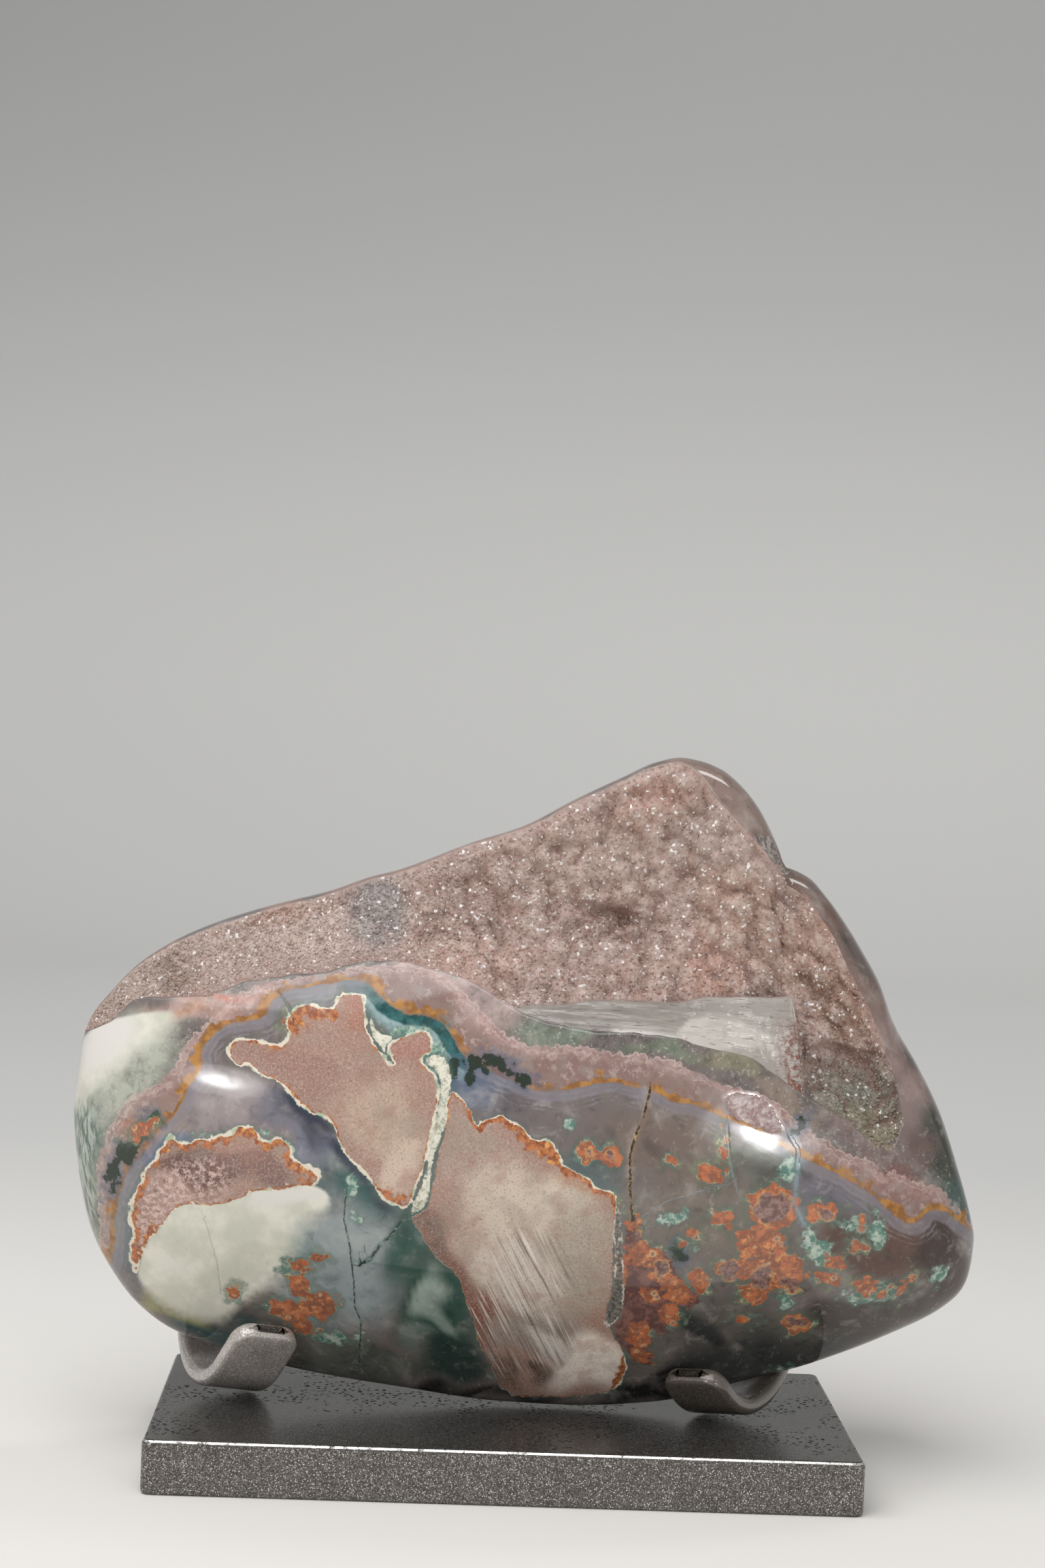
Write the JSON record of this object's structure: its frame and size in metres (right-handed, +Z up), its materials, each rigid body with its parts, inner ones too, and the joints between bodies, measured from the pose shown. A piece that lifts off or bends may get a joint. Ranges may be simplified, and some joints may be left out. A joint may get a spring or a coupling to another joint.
{
  "type": "polished geode on a steel cradle stand",
  "caption": "Freeform amethyst geode, polished agate and jasper skin, open druse face and calcite blade, resting on two bent-bar cradles on a heavy steel base plate.",
  "frame": {"origin": "middle of the whole object's outline on the ground, under the base plate", "axes": "+Z up; +X to the right along the base plate; the open druse face looks towards -Y"},
  "size_m": [0.3302, 0.13, 0.258],
  "materials": {
    "agate": "polished",
    "druse": "satin",
    "calcite": "polished",
    "plate_steel": "satin",
    "cradle_steel": "satin"
  },
  "bodies": {
    "root": {"stone": "agate", "base_plate": "plate_steel", "cradle_left": "cradle_steel", "cradle_right": "cradle_steel"}
  },
  "joints": []
}
